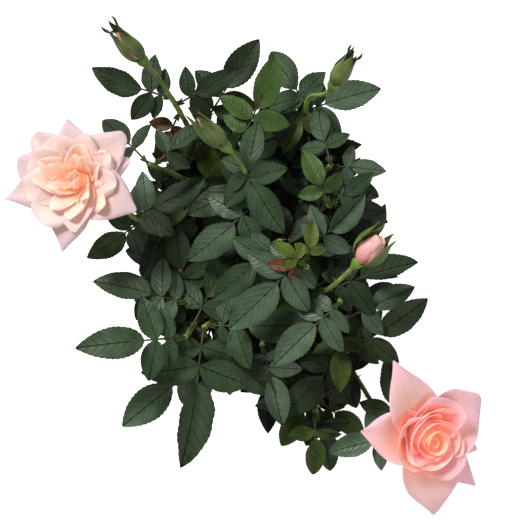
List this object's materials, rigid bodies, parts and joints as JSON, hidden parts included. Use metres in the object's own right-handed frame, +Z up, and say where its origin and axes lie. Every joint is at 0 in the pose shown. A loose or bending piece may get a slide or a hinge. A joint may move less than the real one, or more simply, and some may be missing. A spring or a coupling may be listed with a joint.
{
  "type": "potted rose",
  "caption": "Miniature rose in a plain round pot: a short woody crown, arching green canes, dense toothed leaves, full pale pink blooms and pointed buds.",
  "frame": {"origin": "centre of the pot's flat underside", "axes": "+Z up; -Y is the bottom edge of the picture and +X its right edge"},
  "size_m": [0.2227, 0.2339, 0.225],
  "materials": {
    "pot": "moulded terracotta-coloured plastic, matt",
    "soil": "moist peat-based potting mix, crumbly",
    "bark": "grey-brown woody bark with shallow furrows",
    "cane": "smooth green rind, slightly glossy",
    "foliage": "semi-gloss dark green leaves, with soft pink petals on the flowering shoots",
    "petals_pale": "soft matt petals, pale pink to apricot",
    "petals_salmon": "soft matt petals, salmon pink to orange",
    "calyx": "green hips and leafy sepals, finely hairy"
  },
  "bodies": {
    "root": {"pot": "pot", "soil": "soil", "trunk": "bark", "cane_north_west": "cane", "cane_north": "cane", "cane_north_east": "cane", "cane_east": "cane", "cane_south_east": "cane", "cane_south": "cane", "cane_south_west": "cane", "cane_west": "cane", "cane_centre": "cane", "bud_top_left": "foliage", "leaves_top_left": "foliage", "bud_top_right": "foliage", "leaves_top_centre": "foliage", "bud_centre": "foliage", "leaves_right_up": "foliage", "leaves_right_mid": "foliage", "leaves_centre": "foliage", "leaves_young": "foliage", "leaves_right_inner": "foliage", "bud_pink": "foliage", "leaves_right": "foliage", "leaves_right_low": "foliage", "bloom_right": "foliage", "leaves_bottom": "foliage", "leaves_bottom_left": "foliage", "leaves_left_low": "foliage", "leaves_low_left": "foliage", "leaves_left_mid": "foliage", "bloom_left": "foliage", "leaves_left_up": "foliage", "leaves_centre_up": "foliage", "leaves_centre_low": "foliage", "leaves_bottom_mid": "foliage", "inner_west": "foliage", "inner_south": "foliage", "inner_north": "foliage", "inner_east": "foliage", "skirt_east": "foliage", "skirt_north_east": "foliage", "skirt_north": "foliage", "skirt_west_north": "foliage", "skirt_west": "foliage", "skirt_south_west": "foliage", "skirt_south": "foliage", "skirt_south_east": "foliage"}
  },
  "joints": []
}
